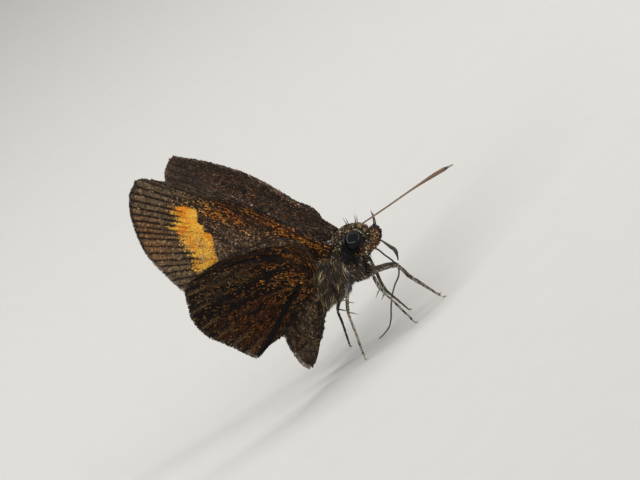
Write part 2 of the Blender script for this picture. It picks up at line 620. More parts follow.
def hindwing_under_colours(wing, s, t, place, dice, density):
    """Nearly black, with rays of ochre dashes, redder behind, between black bands; a brown lobe."""
    fine, rays = mottle(place, 0.16, 5), streaks(wing, s, t, 3.2, 0.2, 21)
    fan = fall(t, FAN_SHARE, FAN_SHARE + 0.02)
    rust = rise(t, 0.34, 0.46) * rise(s, 0.35, 0.7)
    olive = rise(s, 0.5, 0.62) * fall(s, 0.86, 0.94) * rise(t, 0.14, 0.2) * fall(t, 0.3, 0.36)
    border = rise(s, 0.74, 0.92) * fan
    veins = np.array(HINDWING_VEINS)
    dark = np.max([in_band(wing, s, t, *band) for band in HINDWING_BANDS], axis=0)
    colours = layer(
        mix((40, 27, 15), (14, 10, 8), rise(rays, 0.3, 0.6)),
        ((66, 34, 17), 0.8 * rust * fan * rise(fine, 0.2, 0.7)),
        ((74, 62, 40), 0.6 * olive * rise(fine, 0.3, 0.8)),
        ((110, 90, 62), border * near_lines(wing, s, t, veins + 0.02, 0.1) * 0.75),
        (BLACK, border * near_lines(wing, s, t, veins, 0.07) * 0.8),
        (BLACK, border * near_lines(wing, s, t, veins + 0.04, 0.05) * 0.7),
        (BLACK, dark * 0.8),
    )
    cover = 0.4 + 0.46 * fall(s, 0.2, 0.6) + 0.14 * rust + 0.06 * olive - 0.06 * border
    cover = fan * cover * (0.3 + 0.7 * rise(rays, 0.3, 0.6)) * (1 - 0.8 * dark)
    is_dash = dashes(dice, cover, density)
    tone = layer(
        mix((150, 92, 34), (108, 56, 20), rise(mottle(place, 0.7, 7), 0.3, 0.7)),
        ((150, 114, 58), 0.6 * dice.random(len(s)) * (1 - rust)),
        ((84, 54, 26), 0.6 * rise(s, 0.4, 0.8)),
        ((124, 108, 72), 0.7 * np.maximum(olive, border) * (dice.random(len(s)) < 0.6)),
    )
    edge = np.interp(s, (0.2, 0.35, 0.5, 0.75, 0.95), (0.03, 0.06, 0.1, 0.09, 0.05))
    flecks = rise(streaks(wing, s, t, 1.6, 0.2, 23), 0.6, 0.72) * rise(t, 0.8, 0.86)
    lobe = layer(
        mix((78, 61, 44), (38, 31, 25), rise(fine, 0.25, 0.65)),
        ((110, 64, 28), 0.7 * fall(s, 0.2, 0.5) * fall(t, 0.76, 0.8)),
        ((112, 90, 56), 0.6 * flecks * fall(s, 0.8, 0.95)),
        ((88, 75, 64), 0.4 * rise(mottle(place, 0.4, 8), 0.5, 0.7)),
    )
    colours = layer(
        np.where(is_dash[:, None], tone, colours),
        (
            mix((50, 38, 28), MAUVE, rise(fine, 0.2, 0.8)),
            fall(t, edge - 0.025, edge) * rise(s, 0.12, 0.3) * fall(s, 0.8, 0.92),
        ),
        (lobe, rise(t, 0.685, 0.7)),
        ((9, 8, 9), in_band(wing, s, t, *CREASE_BAND) * 0.95),
    )
    return colours, is_dash, np.zeros(len(s), bool)


def upper_colours(wing, s, t, place, dice, density):
    """Purple-brown, flecked with red-brown, with dark lines at the border and a pinkish front edge."""
    fine, grain = mottle(place, 0.2, 9), streaks(wing, s, t, 1.2, 0.28, 24)
    lines = BORDER_LINES if wing.is_fore else HINDWING_VEINS
    front = fall(t, 0.06, 0.24) * rise(s, 0.25, 0.5) * wing.is_fore
    colours = layer(
        mix((54, 42, 32), SOOT, 0.75 * rise(grain, 0.35, 0.7)),
        ((84, 68, 54), 0.4 * fine + 0.35 * rise(s, 0.55, 0.8)),
        ((130, 106, 92), 0.75 * front * rise(fine, 0.15, 0.65)),
        (SOOT, near_lines(wing, s, t, lines, 0.09) * rise(s, 0.7, 0.88) * 0.7),
        ((90, 68, 54), rise(s, 0.93, 0.98) * 0.5),
    )
    cover = 0.3 * rise(s, 0.08, 0.25) * fall(s, 0.72, 0.86) * rise(grain, 0.4, 0.62)
    is_dash = dashes(dice, cover, density)
    tone = mix(mix((112, 66, 32), (128, 98, 72), dice.random(len(s))), OCHRE, 0.2 * fine)
    return np.where(is_dash[:, None], tone, colours), is_dash, np.zeros(len(s), bool)


def scatter(point, count, dice, low, high):
    """About count places on a surface of two shares, spread evenly over its area between low and high.

    The shares step by two irrational amounts, and places are kept in proportion to the area
    that a step of both shares covers there.
    """
    index = np.arange(count * 5)[:, None]
    shares = (dice.random(2) + index * np.array([0.7548776662, 0.5698402910])) % 1.0
    first, second = (np.asarray(low) + (np.asarray(high) - low) * shares).T
    step = 0.003
    down = point(first + step, second) - point(first - step, second)
    over = point(first, second + step) - point(first, second - step)
    area = np.linalg.norm(np.cross(down, over), axis=-1)
    kept = dice.random(len(area)) < area * count / area.sum()
    return first[kept], second[kept]


def tint(piece, colours):
    """Give each point its own colour, as the attribute tint."""
    rgba = np.ones((len(colours), 4), np.float32)
    rgba[:, :3] = linear(np.clip(colours, 0, 255))
    piece.data.color_attributes.new("tint", "FLOAT_COLOR", "POINT").data.foreach_set("color", rgba.ravel())


def add_tufts(name, points, pattern, patch, colours, shares):
    """Tufts (n, k, 3) of k points with faces in one pattern, and a patch each of the flat pattern.

    A tuft's patch lies at its two shares on the skin, so the whole coat unwraps with the skin.
    """
    size = points.shape[1]
    faces = (np.arange(len(points))[:, None, None] * size + np.array(pattern)).reshape(-1, 3)
    piece = add_piece(name, points.reshape(-1, 3), faces, smooth=False)
    tint(piece, colours.reshape(-1, 3))
    mesh = piece.data
    corner = np.zeros(len(mesh.loops), np.int32)
    mesh.loops.foreach_get("vertex_index", corner)
    root = np.stack(shares, axis=1) * (1 - TUFT_PATCH)
    uv = (root[:, None] + np.array(patch) * TUFT_PATCH).reshape(-1, 2)
    mesh.uv_layers.new(name="OFBake").data.foreach_set("uv", uv[corner].astype(np.float32).ravel())
    return piece


def add_scales(name, root, along, across, normal, length, width, lift, colours, shares):
    """Fan-shaped scales, each a closed wedge: its root, two broad corners and their underside."""
    length, width, lift = (np.broadcast_to(x, len(root))[:, None] for x in (length, width, lift))
    left = root + along * length + across * width / 2 + normal * lift
    right = root + along * length - across * width / 2 + normal * lift
    below = root + along * length * 0.85 + normal * lift * 0.35
    return add_tufts(
        name, np.stack([root, right, left, below], axis=1), [[0, 1, 2], [1, 3, 2], [0, 2, 3], [0, 3, 1]],
        [[0, 0], [1, 0], [0, 1], [1, 1]], np.repeat(colours, 4, axis=0), shares,
    )


def turned(along, across, angle):
    """Two directions square to each other, turned by an angle in their own plane."""
    angle = angle[:, None]
    return along * np.cos(angle) + across * np.sin(angle), across * np.cos(angle) - along * np.sin(angle)


def scale_material(name, roughness, gloss, sheen, sheen_colour):
    """Dusty scales: the tint, mottled finely, under a thin coloured sheen."""
    sheen_tint = (*linear(sheen_colour), 1.0)
    material = new_material(
        name, UMBER, roughness, Sheen_Weight=sheen, Sheen_Roughness=0.4, Sheen_Tint=sheen_tint,
        Specular_IOR_Level=gloss,
    )
    own = add_node(material, "ShaderNodeAttribute", {}, attribute_name="tint").outputs["Color"]
    shade = add_ramp(material, add_noise(material, 0.06), [(0.3, (215, 215, 215)), (0.7, (255, 255, 255))])
    inputs = {"Factor": 1.0, "A": own, "B": shade}
    both = add_node(material, "ShaderNodeMix", inputs, data_type="RGBA", blend_type="MULTIPLY")
    drive(material, "Base Color", both.outputs["Result"])
    return material


wing_scales = scale_material("wing_scales", 0.55, 0.08, 0.02, (190, 160, 140))
for name, count in SCALE_COUNTS.items():
    kind, word, face = name.split("_")
    wing = WINGS[f"{kind}_{word}"]
    dice = np.random.default_rng(count + len(name))
    s, t = scatter(
        lambda s, t: wing.point(s * wing.end(t), t), count, dice, (GAP_AT_ROOT, 0.005), (1.0, 0.995)
    )
    s = s * wing.end(t)
    place, along, across, normal = wing.directions(s, t)
    if face == "upper":
        normal, across, pattern = -normal, -across, upper_colours
    else:
        pattern = forewing_under_colours if wing.is_fore else hindwing_under_colours
    colours, is_dash, in_patch = pattern(wing, s, t, place, dice, count / WING_AREAS[kind])
    from_edge = np.minimum(t, 1 - t) * wing.width(s, t)
    lie, beside = turned(along, across, dice.normal(0.0, 0.15, len(s)) * rise(from_edge, 0.0, 0.25))
    size = dice.uniform(0.75, 1.2, len(s)) * np.where(is_dash, 1.0, sqrt(FULL_COUNT / count))
    spread = np.where(in_patch, 0.12, np.where(is_dash, 0.2, np.where(s > 0.7, 0.25, 0.4)))
    bright = np.exp(dice.normal(0.0, 1.0, len(s)) * spread)
    length = np.where(is_dash, DASH_LENGTH, SCALE_LENGTH) * size * np.clip(0.2 + (1 - s) / 0.02, 0.2, 1.0)
    width = np.minimum(np.where(is_dash, DASH_WIDTH, SCALE_WIDTH) * size, 2 * from_edge + 0.03)
    lift = np.where(is_dash, DASH_RISE, SCALE_RISE) * dice.uniform(0.6, 1.4, len(s))
    dress(add_scales(
        name + "_scales", place + normal * SHEET * 0.42, lie, beside, normal, length, width, lift,
        colours * bright[:, None], (t, s),
    ), wing_scales, "wing_brown")

# The fringes.
# Long narrow scales stand out from the outer margins in two layers, dark at the ends of the
# veins, and paler low on the forewing, at the hindwing's corner and along its lobe.
FRINGE_PARTS = {"forewing": ((0.405, 0.995),), "hindwing": ((0.1, 0.655), (0.8, 0.985))}
FRINGE_SPACING = 0.014
FRINGE_LENGTH = 0.52
FRINGE_WIDTH = 0.05
# How far inside the membrane's end the long layer and the short one have their roots.
FRINGE_ROOTS = (0.012, 0.02)

for name, wing in WINGS.items():
    dice = np.random.default_rng(len(name) + 50)
    t = []
    for part in FRINGE_PARTS[wing.kind]:
        reach = reach_along(wing.point(np.ones(80), np.linspace(*part, 80)))[-1]
        t.append(dice.uniform(*part, int(reach * 2 / FRINGE_SPACING)))
    t = np.concatenate(t)
    is_long = dice.random(len(t)) < 0.5
    s = wing.end(t) - np.where(is_long, *FRINGE_ROOTS)
    place, along, across, normal = wing.directions(s, t)
    lie, beside = turned(along, across, dice.normal(0.0, 0.1, len(t)))
    flip = np.where(dice.random(len(t)) < 0.5, 1.0, -1.0)[:, None]
    fine = mottle(place, 0.3, 25)
    if wing.is_fore:
        pale = rise(t, 0.68, 0.78) * 0.8 + 0.25 * rise(fine, 0.5, 0.8)
        lines = near_lines(wing, s, t, BORDER_LINES[1::2], 0.12)
    else:
        pale = np.maximum(0.5 * rise(t, 0.56, 0.62) * (t < 0.67), 0.9 * rise(t, 0.86, 0.92)) + 0.2 * fine
        lines = near_lines(wing, s, t, HINDWING_VEINS, 0.16)
    colours = layer(
        mix((58, 48, 40), (34, 28, 25), fine),
        ((168, 152, 136), np.clip(pale, 0, 1) * (0.4 + 0.5 * dice.random(len(t)))),
        (SOOT, lines * 0.85),
    )
    length = FRINGE_LENGTH * dice.uniform(0.84, 1.03, len(t)) * np.where(is_long, 1.0, 0.6)
    colours = colours * np.exp(dice.normal(0.0, 0.2, len(t)))[:, None]
    dress(add_scales(
        name + "_fringe", place, lie, beside * flip, normal * flip, length, FRINGE_WIDTH, 0.02,
        colours, (t, s),
    ), wing_scales, "wing_brown")

# The body.
# Head, thorax and abdomen are one skin of dark chitin, narrow at the neck and the waist, with
# eight rings behind. It lies under the coat and stands for all three solids.
RING_START = 0.56
RING_COUNT = 8
RING_DEPTH = 0.06
SKIN_ROWS, SKIN_AROUND = 190, 60
# Each station's place along the body, height, half-width and half-height.
BODY_STATIONS = (
    (3.58, 6.95, 0.05, 0.05), (3.3, 6.93, 0.62, 0.48), (2.95, 6.95, 0.86, 0.68),
    (2.45, 6.97, 0.94, 0.83), (1.9, 6.88, 0.8, 0.86), (1.45, 6.7, 0.7, 0.78),
    (1.0, 6.35, 0.95, 1.05), (0.4, 5.95, 1.25, 1.38), (-0.1, 5.6, 1.28, 1.42),
    (-0.8, 5.2, 1.05, 1.15), (-1.4, 4.92, 0.86, 0.86), (-2.2, 4.62, 0.98, 0.95),
    (-2.9, 4.05, 1.0, 0.95), (-3.4, 3.35, 0.93, 0.9), (-3.9, 2.6, 0.66, 0.66),
    (-4.15, 2.05, 0.3, 0.3), (-4.22, 1.85, 0.03, 0.03),
)
BODY_LINE = curve_through(BODY_STATIONS, 300)


def body_point(v, turn):
    """A place on the skin, v of the way from face to tail and turned from the left over the back.

    It is the body's middle line + half-width * cos(turn) across + half-height * sin(turn) up,
    both drawn in by a rounded groove at each ring.
    """
    row = read_line(BODY_LINE, v)
    run = unit(read_line(BODY_LINE, v + 0.004)[..., :2] - read_line(BODY_LINE, v - 0.004)[..., :2])
    phase = (v - RING_START) / (1 - RING_START) * RING_COUNT
    groove = 1 - RING_DEPTH * np.exp(-((((phase + 0.5) % 1) - 0.5) ** 2) / 0.012) * (v > RING_START)
    beside = row[..., 2] * groove * np.cos(turn)
    above = row[..., 3] * groove * np.sin(turn)
    return np.stack([row[..., 0] + above * run[..., 1], beside, row[..., 1] - above * run[..., 0]], axis=-1)


def body_directions(v, turn):
    """The place, the way to the tail, the way round and the outward normal, at v and turn."""
    step = 0.004
    to_tail = unit(body_point(v + step, turn) - body_point(v - step, turn))
    round_it = unit(body_point(v, turn + step) - body_point(v, turn - step))
    return body_point(v, turn), to_tail, round_it, unit(np.cross(to_tail, round_it))


def close_rings(rings):
    """The points and faces of a skin of rings, closed to a point in the middle of each end."""
    rows, around = rings.shape[:2]
    points = np.concatenate([rings.reshape(-1, 3), rings[:1].mean(axis=1), rings[-1:].mean(axis=1)])
    grid = np.arange(rows * around).reshape(rows, around)
    ahead = np.roll(grid, -1, axis=1)
    walls = np.stack([grid[:-1], ahead[:-1], ahead[1:], grid[1:]], axis=-1).reshape(-1, 4)
    first = np.stack([np.full(around, rows * around), ahead[0], grid[0]], axis=1)
    last = np.stack([np.full(around, rows * around + 1), grid[-1], ahead[-1]], axis=1)
    return points, [walls, np.concatenate([first, last])]


chitin = new_material("body_chitin", (34, 27, 23), 0.42, Coat_Weight=0.15, Coat_Roughness=0.3)
shell = [(0.35, (24, 19, 17)), (0.7, (50, 39, 31))]
drive(chitin, "Base Color", add_ramp(chitin, add_noise(chitin, 0.4), shell))
add_bump(chitin, add_noise(chitin, 0.1), 0.02)
turn = np.arange(SKIN_AROUND) * tau / SKIN_AROUND
v, turn = np.meshgrid(np.linspace(0.004, 0.996, SKIN_ROWS), turn, indexing="ij")
skin = add_piece("body_skin", *close_rings(body_point(v, turn)))
dress(skin, chitin, "body_brown", "head", "thorax", "abdomen")

# The eyes.
# Each is a dark glossy ball of thousands of fine facets, oval, a little flattened and tilted
# upwards, set in the side of the head.
SIDES = {"right": -1.0, "left": 1.0}
EYE_PLACE = np.array([2.43, 1.19, 7.02])
EYE_RADII = (0.68, 0.42, 0.64)
EYE_TILT = radians(14)
FACET = 0.03
EYE_ROWS, EYE_AROUND = 36, 56

eye_glass = new_material("eye_facets", (4, 4, 6), 0.08, IOR=1.23)
inputs = {"Vector": own_place(eye_glass), "Scale": 1 / (FACET * MM)}
facets = add_node(eye_glass, "ShaderNodeTexVoronoi", inputs, feature="DISTANCE_TO_EDGE")
add_bump(eye_glass, facets.outputs["Distance"], 0.004, 0.2)
depth = np.cos(np.linspace(0.02, pi - 0.02, EYE_ROWS))[:, None]
turn = np.arange(EYE_AROUND) * tau / EYE_AROUND
spread = np.sqrt(1 - depth**2)
out, lift = EYE_RADII[1] * depth + 0 * turn, EYE_RADII[2] * spread * np.sin(turn)
for word, side in SIDES.items():
    rings = np.stack([
        EYE_PLACE[0] + EYE_RADII[0] * spread * np.cos(turn),
        side * EYE_PLACE[1] + out * cos(EYE_TILT) - side * lift * sin(EYE_TILT),
        EYE_PLACE[2] + lift * cos(EYE_TILT) + side * out * sin(EYE_TILT),
    ], axis=-1)
    dress(add_piece(f"eye_{word}_ball", *close_rings(rings)), eye_glass, "eye_black", f"eye_{word}")

# The coat of the body.
# The skin is tiled with small dark scales, and silky hairs hang from the thorax, a few of them
# stray. The head and its collar are rough with broad-ended scales of every brown that part round
# the eyes, and four bristles stand on the crown.
BODY_SCALES = 16000
THORAX_HAIRS = 8000
HEAD_SCALES = 12000
BROAD_RISE = 0.03
STRAY_SHARE = 0.008
HAIR_LIE = np.array([-0.42, 0.0, -0.91])
STRAY_LIE = np.array([-0.8, 0.0, -0.45])
HEAD_LIE = (0.35, 0.0, 0.9)
COLLAR_LIE = (-0.25, 0.0, 0.95)
CREAM_HAIR = (200, 176, 120)
GOLD_HAIR = (134, 104, 46)
RUST_HAIR = (124, 68, 30)
DARK_HAIR = (25, 19, 13)
WHITE_HAIR = (240, 235, 222)
CHEEK_BLACK = (15, 16, 21)
# The way that the bare cheek runs from the eye, and the way to the front of it.
CHEEK_DOWN = np.array([-0.56, 0.0, -0.83])
CHEEK_FRONT = np.array([0.83, 0.0, -0.56])
# Places in x and z, on both sides of the head, of tufts of white scales about the eye.
WHITE_SPOTS = ((2.93, 7.43), (3.15, 7.2), (2.18, 8.1), (1.66, 7.4), (1.8, 7.15))
SPOT_SIZE = 0.11
CROWN_BRISTLES = np.array([(2.66, 7.75), (2.75, 7.7), (3.14, 7.55), (3.22, 7.5)])
# The skirts' hair under the neck ends at this height, in these colours and shares of them.
SKIRT_END = 4.4
SKIRT_HAIR = ((96, 66, 42), DARK_HAIR, (56, 38, 26), CREAM_HAIR, WHITE_HAIR), (28, 36, 20, 9, 7)


def add_hairs(name, root, start, end, length, width, colours, shares):
    """Hairs as closed three-sided spikes of seven points that bend from start to end direction.

    A place u of the way along is root + length * (u * start + u^2 / 2 * (end - start)).
    """
    length, width = (np.broadcast_to(x, len(root))[:, None] for x in (length, width))
    side = unit(np.cross(start, unit(end + np.array([0.013, 0.021, 0.017]))))
    above = np.cross(side, unit(start + end))
    middle = root + length * (0.55 * start + 0.15 * (end - start))
    tip = root + length * (start + 0.5 * (end - start))
    offsets = np.stack([side, -side, -above], axis=1) * width[:, None] / 2
    points = np.concatenate([root[:, None] + offsets, middle[:, None] + offsets * 0.8, tip[:, None]], axis=1)
    pattern = [
        [2, 1, 0], [0, 1, 4], [0, 4, 3], [1, 2, 5], [1, 5, 4],
        [2, 0, 3], [2, 3, 5], [3, 4, 6], [4, 5, 6], [5, 3, 6],
    ]
    patch = [[0, 0], [1, 0], [0.5, 0.2], [0, 0.6], [1, 0.6], [0.5, 0.7], [0.5, 1]]
    shade = np.array([0.55, 0.55, 0.55, 0.9, 0.9, 0.9, 1.15])[:, None]
    return add_tufts(name, points, pattern, patch, colours[:, None] * shade, shares)


def lean_on(normal, lie, stand):
    """Directions along the skin towards the lie, raised off it by the share stand."""
    flat = unit(lie - normal * np.sum(lie * normal, axis=-1, keepdims=True))
    return unit(flat * (1 - stand[:, None]) + normal * stand[:, None])


def pick(dice, count, colours, shares):
    """A colour for each of count tufts, drawn from the colours in their shares."""
    return np.asarray(colours, float)[dice.choice(len(colours), count, p=np.asarray(shares) / sum(shares))]


def eye_gap(places):
    """How far places are from the nearer eye's middle, as a share of its size, and the way from it."""
    mirror = np.ones_like(places)
    mirror[:, 1] = np.sign(places[:, 1])
    offset = places - EYE_PLACE * mirror
    return np.linalg.norm(offset / (EYE_RADII[0], 1.3, EYE_RADII[2]), axis=1), unit(offset)


def from_eye_level(places):
    """How far places lie down the cheek's line from the eye, and how far in front of it."""
    gap = places - EYE_PLACE * (1, 0, 1)
    return gap @ CHEEK_DOWN, gap @ CHEEK_FRONT


def on_cheek(places):
    """1 on the bare dark cheek that runs back and down from each eye, and 0 off it."""
    down, front = from_eye_level(places)
    taper = 0.12 * down
    inside = fall(np.abs(front + 0.05 + taper), 0.62 - taper, 0.72 - taper)
    return inside * rise(down, -0.1, 0.1) * fall(down, 1.45, 1.6) * (np.abs(places[:, 1]) > 0.25)


def under_cheek(places):
    """1 in the grey streak of hairs that hangs below each cheek, and 0 off it."""
    down, front = from_eye_level(places)
    return fall(np.abs(front + 0.2), 0.3, 0.5) * rise(down, 0.9, 1.2)


def twisted(along, normal, angle):
    """The way across and the face of scales that grow along, turned about it by an angle."""
    across = unit(np.cross(normal, along))
    across, _ = turned(across, np.cross(along, across), angle)
    return across, np.cross(along, across)


def on_body(count, dice, low, high, is_kept):
    """Scattered places of the skin from low to high on the way to the tail, if they are kept.

    They come as their two shares, the places and the directions there.
    """
    v, share = scatter(lambda v, q: body_point(v, q * tau), count, dice, (low, 0.0), (high, 1.0))
    place, to_tail, round_it, normal = body_directions(v, share * tau)
    kept = is_kept(v, place, normal)
    return (x[kept] for x in (v, share, place, to_tail, round_it, normal))


hair = scale_material("body_hair", 0.5, 0.22, 0.05, (200, 180, 160))
dice = np.random.default_rng(21)
v, share, place, to_tail, round_it, normal = on_body(
    BODY_SCALES, dice, 0.01, 0.99, lambda v, place, normal: eye_gap(place)[0] > 1
)
lie, beside = turned(to_tail, round_it, dice.normal(0.0, 0.25, len(v)))
colours = layer(
    mix((52, 41, 35), SOOT, mottle(place, 0.4, 11)),
    ((108, 92, 48), 0.3 * mottle(place, 0.5, 12) * (v < 0.5)),
    (pick(dice, len(v), (CREAM_HAIR, GOLD_HAIR), (1, 2)), 0.7 * (dice.random(len(v)) < 0.1)),
    (CHEEK_BLACK, on_cheek(place)),
)
length, width = 0.2 * dice.uniform(0.7, 1.3, len(v)), 0.1 * dice.uniform(0.7, 1.2, len(v))
dress(add_scales(
    "body_scales", place, lie, beside, normal, length, width, 0.05,
    colours * dice.uniform(0.7, 1.25, (len(v), 1)), (v, share),
), hair, "body_brown")

v, share, place, _, _, normal = on_body(
    THORAX_HAIRS, dice, 0.3, 0.62, lambda v, place, normal: on_cheek(place) < 0.5
)
jitter = dice.normal(0.0, 0.15, (len(v), 3))
start = lean_on(normal, HAIR_LIE + jitter, dice.uniform(0.2, 0.45, len(v)))
end = unit(HAIR_LIE + jitter * 1.6 + normal * 0.1)
length = dice.uniform(0.6, 1.35, len(v)) * (1 - 0.5 * rise(normal[:, 2], 0.3, 0.8))
length = length * (1 - 0.35 * rise(v, 0.5, 0.62)) * (1 - 0.45 * rise(-normal[:, 2], 0.0, 0.6))
stray = (dice.random(len(v)) < STRAY_SHARE) & (np.abs(normal[:, 1]) > 0.6) & (place[:, 0] < 0.5)
start = np.where(stray[:, None], unit(normal + 0.5 * jitter), start)
end = np.where(stray[:, None], unit(STRAY_LIE + jitter), end)
length = np.where(stray, dice.uniform(1.7, 2.3, len(v)), length)
to_hem = np.maximum((place[:, 2] - SKIRT_END) / 0.9, 0.15)
length = np.where(place[:, 0] > 0.7, np.minimum(length, to_hem), length)
browns = (78, 60, 46), DARK_HAIR, CREAM_HAIR, GOLD_HAIR, (124, 112, 104)
colours = pick(dice, len(v), browns, (30, 38, 9, 8, 15))
in_skirt = (place[:, 0] > 0.75) & (place[:, 2] < 6.3)
colours = np.where(in_skirt[:, None], pick(dice, len(v), *SKIRT_HAIR), colours)
colours = mix(colours, pick(dice, len(v), ((104, 104, 112), (44, 44, 50)), (3, 2)), 0.8 * under_cheek(place))
colours = colours * (0.5 + mottle(place, 0.5, 26))[:, None]
colours = np.where(stray[:, None], np.array(CREAM_HAIR, float), colours)
width = np.where(stray, 0.024, dice.uniform(0.025, 0.05, len(v)))
dress(add_hairs(
    "thorax_hair", place, start, end, length, width, colours * dice.uniform(0.4, 1.5, (len(v), 1)),
    (v, share),
), hair, "body_brown")


def has_head_scale(v, place, normal):
    """All of the head but its eyes, and a collar that thins out backwards and below the neck."""
    thinning = rise(v, 0.35, 0.42) * (1 - 0.3 * rise(normal[:, 2], 0, 0.5))
    kept = (eye_gap(place)[0] > 1) & (dice.random(len(v)) < 1 - thinning)
    down, _ = from_eye_level(place)
    return kept & ((v < 0.25) | (dice.random(len(v)) < fall(down, 0.6, 1.0)))


v, share, place, _, _, normal = on_body(HEAD_SCALES, dice, 0.03, 0.43, has_head_scale)
gap, from_eye = eye_gap(place)
collar, ring = rise(v, 0.24, 0.29), fall(gap, 1.0, 1.4)
crown, cheek = rise(normal[:, 2], 0.0, 0.8), on_cheek(place)
lie = mix(HEAD_LIE, COLLAR_LIE, collar) * (1 - ring)[:, None] + from_eye * ring[:, None] * 1.3
lie = lie + dice.normal(0.0, 0.4, (len(v), 3))
along = lean_on(normal, lie, np.clip(dice.uniform(0.3, 0.75, len(v)) - 0.3 * cheek, 0.05, 1))
length = dice.uniform(0.22, 0.42, len(v)) * (1 - 0.5 * ring) * (1 - 0.5 * cheek)
length = length * (1 - 0.4 * crown * (1 - collar))
length = length + collar * rise(normal[:, 2], -0.3, 0.4) * dice.uniform(0.1, 0.5, len(v))
browns = (92, 72, 40), DARK_HAIR, GOLD_HAIR, RUST_HAIR, CREAM_HAIR, WHITE_HAIR
colours = pick(dice, len(v), browns, (20, 50, 9, 7, 10, 4))
tip = place + along * length[:, None]
spot = np.linalg.norm(tip[:, None, ::2] - np.array(WHITE_SPOTS), axis=-1).min(axis=1)
colours = mix(colours, WHITE_HAIR, (spot < SPOT_SIZE) * (np.abs(tip[:, 1]) > 0.6))
colours = mix(colours * dice.uniform(0.5, 1.15, (len(v), 1)), CHEEK_BLACK, cheek)
across, face = twisted(along, normal, dice.normal(0.0, 0.8, len(v)))
dress(add_scales(
    "head_scales", place, along, across, face, length,
    dice.uniform(0.08, 0.14, len(v)), BROAD_RISE, colours, (v, share),
), hair, "body_brown")

x, z = CROWN_BRISTLES.T
place = np.stack([x, dice.uniform(-0.3, 0.1, len(x)), z], axis=1)
start = unit(np.stack([0.13 + 0.95 * (x - 2.75), dice.normal(0, 0.1, len(x)), np.ones(len(x))], axis=1))
colours = np.tile(np.array(DARK_HAIR, float), (len(x), 1))
dress(add_hairs(
    "crown_bristles", place, start, start, dice.uniform(0.78, 0.9, len(x)), 0.08, colours,
    (x / 5, 0.5 + place[:, 1]),
), hair, "body_brown")

# The palps.
# Two stout furry mouth feelers curve up in front of the face, each with a bare needle at its
# end. Broad scales of brown, rust and cream stand off them, so that their outline is saw-toothed.
PALP_SCALES = 2600
PALP_ROUTE = (
    (2.3, 0.42, 5.5), (2.9, 0.5, 5.92), (3.58, 0.52, 6.12), (4.03, 0.52, 6.48), (4.27, 0.52, 6.9),
    (4.46, 0.52, 7.35), (4.57, 0.52, 7.78),
)
PALP_RADII = (
    (0, 0.16), (0.15, 0.26), (0.45, 0.27), (0.6, 0.2), (0.66, 0.08), (0.74, 0.05), (0.88, 0.04), (1, 0.02)
)
PALP_POINTS, PALP_AROUND = 120, 14
NEEDLE_BROWN = (26, 17, 13)
PALP_LIE = np.array([0.72, 0.0, 0.7])
PALP_FRONT = np.array([0.9, 0.0, -0.3])
PALP_HAIR = ((132, 80, 40), (142, 74, 30), (224, 196, 140), WHITE_HAIR, (14, 9, 7)), (18, 14, 15, 5, 48)
PALE_SHEEN = (200, 190, 180)
ACROSS = (0.0, 1.0, 0.0)
AROUND = 12


def tube_frame(path, side):
    """The way along a path, the given side made square to it, and the way square to both."""
    run = unit(np.gradient(path, axis=0))
    across = unit(side - run * (run @ np.asarray(side, float))[:, None])
    return run, across, np.cross(run, across)


def tube(path, radii, side=ACROSS, around=AROUND):
    """A round skin along a path: its rings are the path + radius * (cos across + sin above)."""
    _, across, above = tube_frame(path, side)
    turn = (np.arange(around) * tau / around)[None, :, None]
    round_it = np.cos(turn) * across[:, None] + np.sin(turn) * above[:, None]
    return close_rings(path[:, None] + radii[:, None, None] * round_it)


def tube_place(path, radii, share, turn, side):
    """Places on a tube's skin, at the share of its length and turned: place, way along, normal."""
    run, across, above = (read_line(line, share) for line in tube_frame(path, side))
    normal = across * np.cos(turn)[:, None] + above * np.sin(turn)[:, None]
    wide = np.interp(share, np.linspace(0, 1, len(path)), radii)
    return read_line(path, share) + normal * wide[:, None], run, normal


def on_tube(path, radii, count, dice, low, high, side=ACROSS):
    """Scattered places of a tube's skin from low to high: their two shares and their directions."""
    share, turn = scatter(
        lambda p, q: tube_place(path, radii, p, q * tau, side)[0], count, dice, (low, 0.0), (high, 1.0)
    )
    return share, turn, *tube_place(path, radii, share, turn * tau, side)


def tapered(path, stations):
    """Radii along a path, from (share, radius) stations, rounded off at both ends as a ball is."""
    reach = reach_along(path)
    radii = np.interp(reach / reach[-1], *np.transpose(stations))
    inset = np.clip(np.minimum(reach, reach[-1] - reach) / radii, 0.02, 1)
    return radii * np.sqrt(1 - (1 - inset) ** 2)


def ring_tones(tones, around=AROUND):
    """One tone for each ring of a tube, given to all the ring's points and to the tube's two ends."""
    return np.concatenate([np.repeat(tones, around, axis=0), tones[:1], tones[-1:]])


def add_tinted(name, parts, tones, material, slot, *nodes):
    """A piece from closed skins, each in its own tones, that stands for the given nodes."""
    starts = np.cumsum([0] + [len(points) for points, _ in parts])
    groups = zip(*[[group + start for group in faces] for (_, faces), start in zip(parts, starts)])
    faces = [np.concatenate(group) for group in groups]
    piece = add_piece(name, np.concatenate([points for points, _ in parts]), faces)
    tint(piece, np.concatenate([np.broadcast_to(tone, p.shape) for tone, (p, _) in zip(tones, parts)]))
    dress(piece, material, slot, *nodes)


